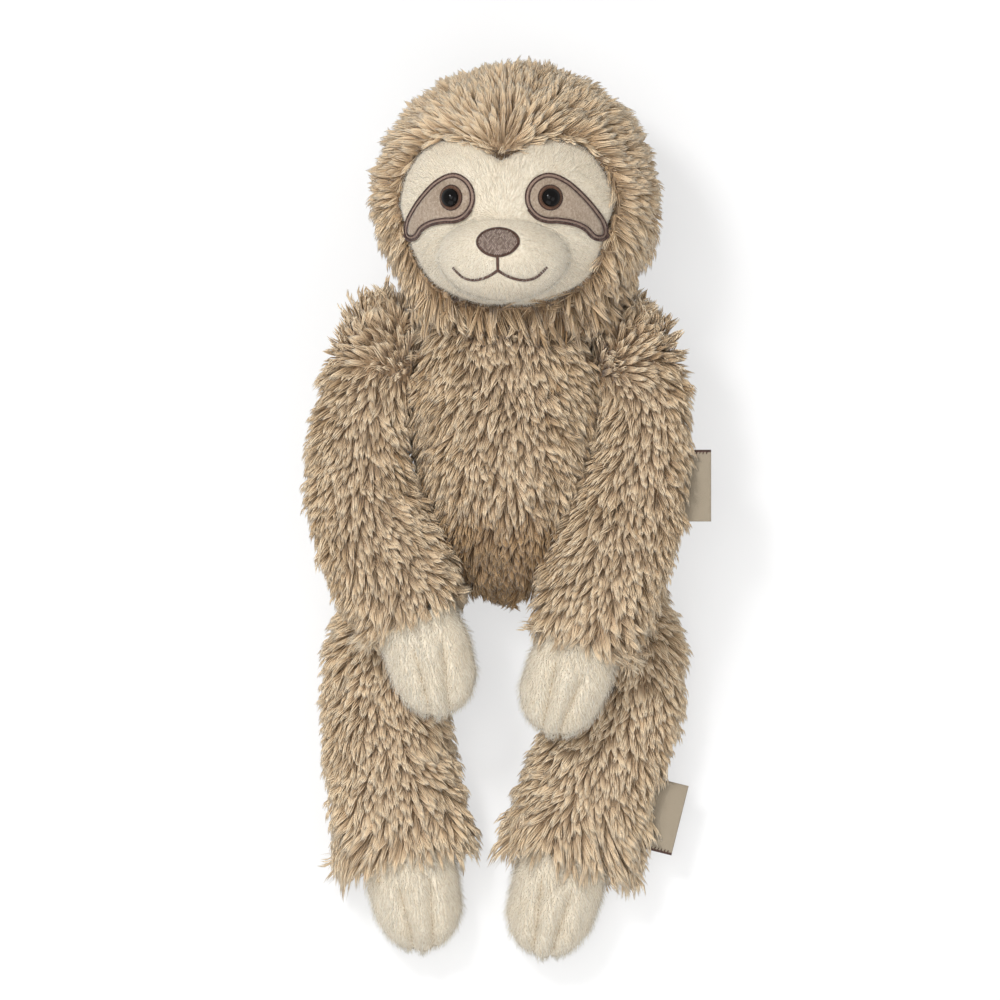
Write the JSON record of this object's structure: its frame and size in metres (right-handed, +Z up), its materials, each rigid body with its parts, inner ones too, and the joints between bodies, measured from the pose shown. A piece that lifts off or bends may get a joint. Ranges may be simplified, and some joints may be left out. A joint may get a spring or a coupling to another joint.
{
  "type": "plush sloth",
  "caption": "Stuffed long-pile plush sloth lying on its back, with short-pile face, hands and feet, embroidered face, plastic eyes, and limbs and head that turn at their seams.",
  "frame": {"origin": "on the surface the toy lies on, under the middle of its flat back", "axes": "+Y from the feet to the head, +Z up from the back to the face, +X to the left side of the toy"},
  "size_m": [0.1575, 0.3481, 0.1139],
  "materials": {
    "long_pile_plush": "long pointed pile, matt",
    "short_pile_plush": "short brushed pile, matt",
    "patch_plush": "short pile, matt",
    "brown_thread": "satin stitch",
    "nose_thread": "satin stitch",
    "cream_thread": "pulled stitch",
    "black_plastic": "polished",
    "white_plastic": "moulded",
    "polyester_fibre": "loose fibre",
    "woven_ribbon": "fine woven"
  },
  "bodies": {
    "torso": {"torso_cover": "long_pile_plush", "torso_filling": "polyester_fibre"},
    "head": {"head_cover": "long_pile_plush", "head_filling": "polyester_fibre", "face_panel": "short_pile_plush", "muzzle_panel": "short_pile_plush", "muzzle_filling": "polyester_fibre", "nose_embroidery": "nose_thread", "mouth_embroidery": "brown_thread", "eye_patch_right": "patch_plush", "eye_border_right": "brown_thread", "eye_ring_right": "brown_thread", "eye_right": "black_plastic", "eye_washer_right": "white_plastic", "eye_patch_left": "patch_plush", "eye_border_left": "brown_thread", "eye_ring_left": "brown_thread", "eye_left": "black_plastic", "eye_washer_left": "white_plastic"},
    "arm_right": {"arm_cover_right": "long_pile_plush", "arm_filling_right": "polyester_fibre", "hand_cover_right": "short_pile_plush", "hand_filling_right": "polyester_fibre", "finger_stitch_right_inner": "cream_thread", "finger_stitch_right_outer": "cream_thread"},
    "leg_right": {"leg_cover_right": "long_pile_plush", "leg_filling_right": "polyester_fibre", "foot_cover_right": "short_pile_plush", "foot_filling_right": "polyester_fibre", "toe_stitch_right_inner": "cream_thread", "toe_stitch_right_outer": "cream_thread"},
    "arm_left": {"arm_cover_left": "long_pile_plush", "arm_filling_left": "polyester_fibre", "hand_cover_left": "short_pile_plush", "hand_filling_left": "polyester_fibre", "finger_stitch_left_inner": "cream_thread", "finger_stitch_left_outer": "cream_thread", "arm_label": "woven_ribbon"},
    "leg_left": {"leg_cover_left": "long_pile_plush", "leg_filling_left": "polyester_fibre", "foot_cover_left": "short_pile_plush", "foot_filling_left": "polyester_fibre", "toe_stitch_left_inner": "cream_thread", "toe_stitch_left_outer": "cream_thread", "leg_label": "woven_ribbon"}
  },
  "joints": [
    {"name": "neck_turn", "type": "hinge", "parent": "torso", "child": "head", "pos_m": [0.0062, 0.09728, 0.054], "axis": [0, 1, 0], "range_deg": [-45, 45]},
    {"name": "shoulder_right", "type": "hinge", "parent": "torso", "child": "arm_right", "pos_m": [-0.0333, 0.04278, 0.0475], "axis": [-1, 0, 0], "range_deg": [0, 90]},
    {"name": "shoulder_left", "type": "hinge", "parent": "torso", "child": "arm_left", "pos_m": [0.0373, 0.04278, 0.0475], "axis": [-1, 0, 0], "range_deg": [0, 90]},
    {"name": "hip_right", "type": "hinge", "parent": "torso", "child": "leg_right", "pos_m": [-0.0306, -0.04132, 0.017], "axis": [0, 0, -1], "range_deg": [0, 35]},
    {"name": "hip_left", "type": "hinge", "parent": "torso", "child": "leg_left", "pos_m": [0.0346, -0.04132, 0.017], "axis": [0, 0, 1], "range_deg": [0, 35]}
  ]
}
